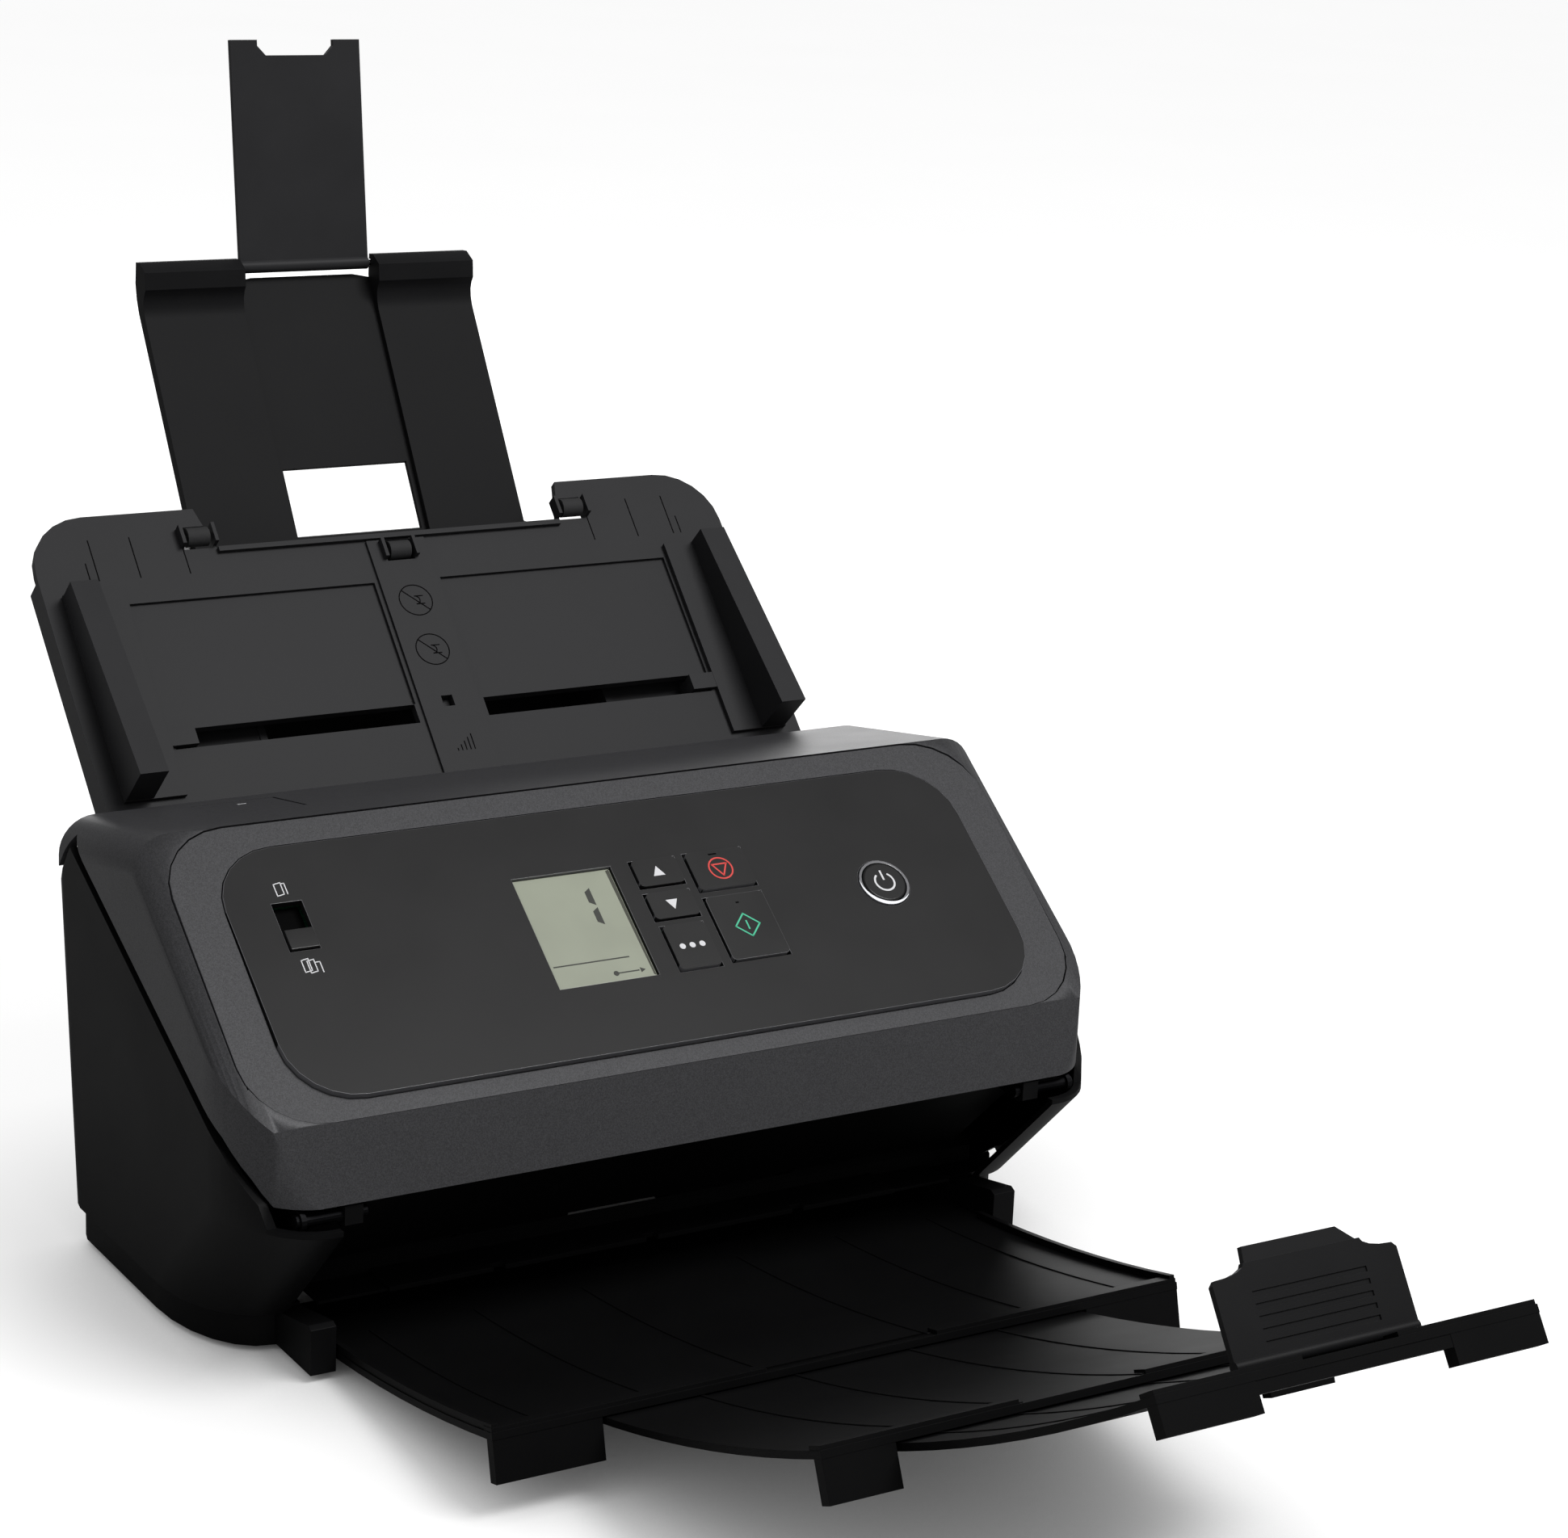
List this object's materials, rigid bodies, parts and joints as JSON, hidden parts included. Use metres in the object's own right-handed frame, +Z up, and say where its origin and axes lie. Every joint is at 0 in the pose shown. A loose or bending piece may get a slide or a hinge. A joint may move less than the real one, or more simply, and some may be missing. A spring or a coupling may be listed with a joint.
{
  "type": "sheet fed document scanner",
  "caption": "Desktop sheet-fed scanner with a sloping key panel, a rear feed tray with guides and a fold-over support, and curved pull-out eject trays.",
  "frame": {"origin": "centre of the bounding box at desk level, under the feet", "axes": "+X to the viewer's right, -Y towards the viewer (front, where sheets come out), +Z up"},
  "size_m": [0.291, 0.5964, 0.3507],
  "materials": {
    "shell_black": "fine matt texture",
    "flake_grey": "dark grey with a fine flake, satin",
    "panel_black": "smooth semi-gloss",
    "tray_black": "fine matt texture",
    "inner_black": "matt moulded",
    "screen_green": "grey-green display film",
    "light_ring": "translucent white",
    "rubber": "matt",
    "steel": "plated sheet",
    "scan_glass": "clear, polished",
    "board_green": "solder mask",
    "gear_white": "natural acetal"
  },
  "bodies": {
    "base": {"main_cover": "shell_black", "lower_case": "shell_black", "foot_front_left": "rubber", "foot_front_right": "rubber", "foot_rear_left": "rubber", "foot_rear_right": "rubber", "main_frame": "inner_black", "left_side_plate": "steel", "right_side_plate": "steel", "exit_guide": "inner_black", "lower_sensor": "inner_black", "lower_glass": "scan_glass", "drive_motor": "steel", "timing_belt": "rubber", "main_board": "board_green", "usb_socket": "steel", "power_inlet": "steel", "left_hinge_pin": "steel", "right_hinge_pin": "steel", "feed_tray": "tray_black", "tray_housing": "tray_black"},
    "front_unit": {"front_cover": "flake_grey", "bezel_frame": "flake_grey", "control_panel": "panel_black", "power_ring": "light_ring", "display_screen": "screen_green", "control_board": "board_green", "upper_frame": "inner_black", "upper_sensor": "inner_black", "upper_glass": "scan_glass"},
    "middle_roller": {"drive_roller": "rubber", "drive_gear": "gear_white"},
    "extension": {"extension_tray": "tray_black", "flip_support_pin": "steel"},
    "up_key": {"up_key": "panel_black"},
    "down_key": {"down_key": "panel_black"},
    "blank_key": {"blank_key": "panel_black"},
    "stop_key": {"stop_key": "panel_black"},
    "start_key": {"start_key": "panel_black"},
    "power_button": {"power_button": "panel_black"},
    "feed_switch_knob": {"feed_switch_knob": "panel_black"},
    "release_lever": {"release_lever": "shell_black"},
    "retard_roller": {"retard_roller": "rubber"},
    "drive_idler": {"drive_idler": "rubber"},
    "eject_idler": {"eject_idler": "rubber"},
    "feed_roller": {"feed_roller": "rubber"},
    "eject_roller": {"eject_roller": "rubber"},
    "motor_pinion": {"motor_pinion": "steel"},
    "left_side_guide": {"left_side_guide": "tray_black"},
    "right_side_guide": {"right_side_guide": "tray_black"},
    "guide_pinion": {"guide_pinion": "gear_white"},
    "tray_roller_left": {"tray_roller_left": "rubber"},
    "tray_roller_centre": {"tray_roller_centre": "rubber"},
    "tray_roller_right": {"tray_roller_right": "rubber"},
    "flip_support": {"flip_support": "tray_black"},
    "eject_tray": {"eject_tray": "tray_black"},
    "eject_extension": {"eject_extension": "tray_black"},
    "eject_end_tray": {"eject_end_tray": "tray_black"},
    "paper_stopper": {"paper_stopper": "tray_black"}
  },
  "joints": [
    {"name": "front_unit_hinge", "type": "hinge", "parent": "base", "child": "front_unit", "pos_m": [0, -0.00415, 0.0555], "axis": [1, 0, 0], "range_deg": [0, 50]},
    {"name": "up_key_press", "type": "slide", "parent": "front_unit", "child": "up_key", "axis": [0, 0.599, -0.8007], "range_m": [0, 0.0006], "stiffness_N_per_m": 400, "springref_m": -0.0005},
    {"name": "down_key_press", "type": "slide", "parent": "front_unit", "child": "down_key", "axis": [0, 0.599, -0.8007], "range_m": [0, 0.0006], "stiffness_N_per_m": 400, "springref_m": -0.0005},
    {"name": "blank_key_press", "type": "slide", "parent": "front_unit", "child": "blank_key", "axis": [0, 0.599, -0.8007], "range_m": [0, 0.0006], "stiffness_N_per_m": 400, "springref_m": -0.0005},
    {"name": "stop_key_press", "type": "slide", "parent": "front_unit", "child": "stop_key", "axis": [0, 0.599, -0.8007], "range_m": [0, 0.0006], "stiffness_N_per_m": 400, "springref_m": -0.0005},
    {"name": "start_key_press", "type": "slide", "parent": "front_unit", "child": "start_key", "axis": [0, 0.599, -0.8007], "range_m": [0, 0.0006], "stiffness_N_per_m": 400, "springref_m": -0.0005},
    {"name": "power_button_press", "type": "slide", "parent": "front_unit", "child": "power_button", "axis": [0, 0.599, -0.8007], "range_m": [0, 0.0006], "stiffness_N_per_m": 400, "springref_m": -0.0005},
    {"name": "feed_switch_slide", "type": "slide", "parent": "front_unit", "child": "feed_switch_knob", "axis": [0, 0.8007, 0.599], "range_m": [0, 0.0095]},
    {"name": "release_lever_hinge", "type": "hinge", "parent": "front_unit", "child": "release_lever", "pos_m": [0, 0.10535, 0.1405], "axis": [1, 0, 0], "range_deg": [0, 14], "stiffness_Nm_per_rad": 0.05, "springref_deg": -11.46},
    {"name": "retard_roller_spin", "type": "hinge", "parent": "front_unit", "child": "retard_roller", "pos_m": [0, 0.11167, 0.09686], "axis": [1, 0, 0], "continuous": true},
    {"name": "drive_idler_spin", "type": "hinge", "parent": "front_unit", "child": "drive_idler", "pos_m": [0, 0.08875, 0.07453], "axis": [1, 0, 0], "continuous": true},
    {"name": "eject_idler_spin", "type": "hinge", "parent": "front_unit", "child": "eject_idler", "pos_m": [0, 0.04435, 0.03127], "axis": [1, 0, 0], "continuous": true},
    {"name": "middle_roller_spin", "type": "hinge", "parent": "base", "child": "middle_roller", "pos_m": [0, 0.0981, 0.06494], "axis": [1, 0, 0], "continuous": true},
    {"name": "feed_roller_spin", "type": "hinge", "parent": "base", "child": "feed_roller", "pos_m": [0, 0.12103, 0.08726], "axis": [1, 0, 0], "continuous": true},
    {"name": "eject_roller_spin", "type": "hinge", "parent": "base", "child": "eject_roller", "pos_m": [0, 0.0537, 0.02167], "axis": [1, 0, 0], "continuous": true},
    {"name": "motor_pinion_spin", "type": "hinge", "parent": "base", "child": "motor_pinion", "pos_m": [0, 0.10866, 0.04666], "axis": [1, 0, 0], "continuous": true},
    {"name": "left_guide_slide", "type": "slide", "parent": "base", "child": "left_side_guide", "axis": [1, 0, 0], "range_m": [0, 0.07]},
    {"name": "right_guide_slide", "type": "slide", "parent": "base", "child": "right_side_guide", "axis": [-1, 0, 0], "range_m": [0, 0.07]},
    {"name": "guide_pinion_spin", "type": "hinge", "parent": "base", "child": "guide_pinion", "pos_m": [0, 0.16795, 0.14643], "axis": [0, -0.7193, 0.6947], "range_deg": [-505, 505]},
    {"name": "tray_roller_left_spin", "type": "hinge", "parent": "base", "child": "tray_roller_left", "pos_m": [-0.0685, 0.21809, 0.19893], "axis": [1, 0, 0], "continuous": true},
    {"name": "tray_roller_centre_spin", "type": "hinge", "parent": "base", "child": "tray_roller_centre", "pos_m": [0, 0.21045, 0.19102], "axis": [1, 0, 0], "continuous": true},
    {"name": "tray_roller_right_spin", "type": "hinge", "parent": "base", "child": "tray_roller_right", "pos_m": [0.0685, 0.21809, 0.19893], "axis": [1, 0, 0], "continuous": true},
    {"name": "extension_slide", "type": "slide", "parent": "base", "child": "extension", "axis": [0, -0.5299, -0.848], "range_m": [0, 0.07]},
    {"name": "flip_support_hinge", "type": "hinge", "parent": "extension", "child": "flip_support", "pos_m": [0, 0.28795, 0.27511], "axis": [1, 0, 0], "range_deg": [0, 150]},
    {"name": "eject_tray_slide", "type": "slide", "parent": "base", "child": "eject_tray", "axis": [0, 1, 0], "range_m": [0, 0.06]},
    {"name": "eject_extension_curl", "type": "hinge", "parent": "eject_tray", "child": "eject_extension", "pos_m": [0, 0.07135, 0.648], "axis": [1, 0, 0], "range_deg": [0, 7.5]},
    {"name": "eject_end_curl", "type": "hinge", "parent": "eject_extension", "child": "eject_end_tray", "pos_m": [0, 0.07135, 0.648], "axis": [1, 0, 0], "range_deg": [0, 6]},
    {"name": "paper_stopper_hinge", "type": "hinge", "parent": "eject_end_tray", "child": "paper_stopper", "pos_m": [0, -0.28441, 0.10771], "axis": [1, 0, 0], "range_deg": [-84, 0]}
  ],
  "couplings": [
    {"joint": "feed_roller_spin", "follows": "middle_roller_spin", "ratio": 1},
    {"joint": "eject_roller_spin", "follows": "middle_roller_spin", "ratio": 1},
    {"joint": "motor_pinion_spin", "follows": "middle_roller_spin", "ratio": -2.5},
    {"joint": "right_guide_slide", "follows": "left_guide_slide", "ratio": 1},
    {"joint": "guide_pinion_spin", "follows": "left_guide_slide", "rad_per_m": 125}
  ]
}
